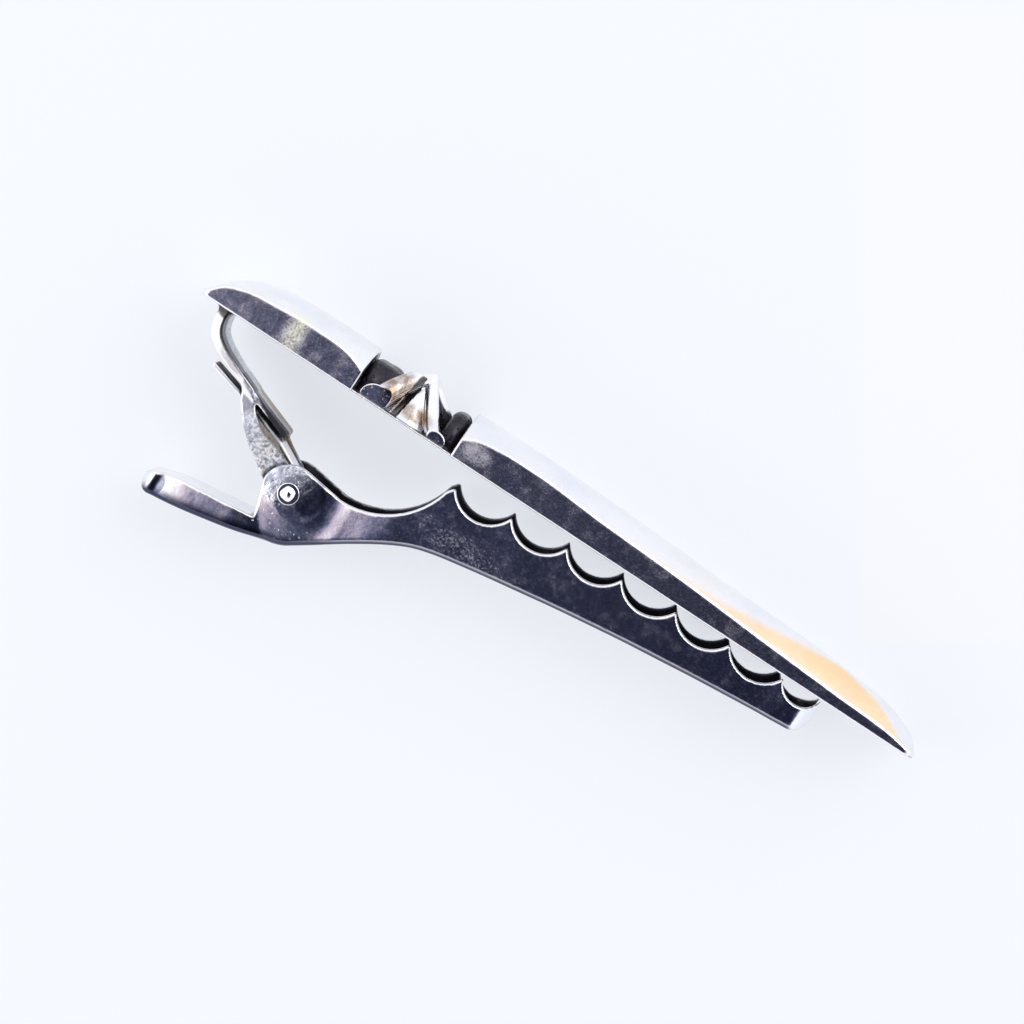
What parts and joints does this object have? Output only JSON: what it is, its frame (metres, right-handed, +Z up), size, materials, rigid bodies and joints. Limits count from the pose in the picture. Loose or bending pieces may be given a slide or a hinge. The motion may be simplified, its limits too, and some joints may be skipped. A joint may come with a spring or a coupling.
{
  "type": "tie clip",
  "caption": "Sprung alligator tie clip: a domed bar with a raised star, a bent riser and a toothed jaw on a rivet, lying on its side and closed.",
  "frame": {"origin": "middle of the closed clip's footprint, on the surface that it lies on", "axes": "+X along the bar, from its short end beside the riser to its long end; +Y from the jaw to the bar's domed face; +Z up, across the clip's width"},
  "size_m": [0.061, 0.019, 0.008],
  "materials": {
    "bar_silver": "polished cast silver with a fine bluish grain",
    "star_silver": "bright silver with oxidised recesses",
    "riser_silver": "worn silver strip, pitted on the ear",
    "spring_steel": "bright spring strip",
    "jaw_silver": "polished cast silver with bright worn edges",
    "rivet_silver": "polished rivet"
  },
  "bodies": {
    "bar_frame": {"front_bar": "bar_silver", "star_emblem": "star_silver", "riser_bracket": "riser_silver", "leaf_spring": "spring_steel"},
    "jaw": {"toothed_jaw": "jaw_silver", "pivot_rivet": "rivet_silver"}
  },
  "joints": [
    {"name": "jaw_hinge", "type": "hinge", "parent": "bar_frame", "child": "jaw", "pos_m": [-0.01755, -0.00358, 0.004], "axis": [0, 0, -1], "range_deg": [0, 30], "stiffness_Nm_per_rad": 0.05, "springref_deg": -17.19, "deforming": ["leaf_spring"]}
  ]
}
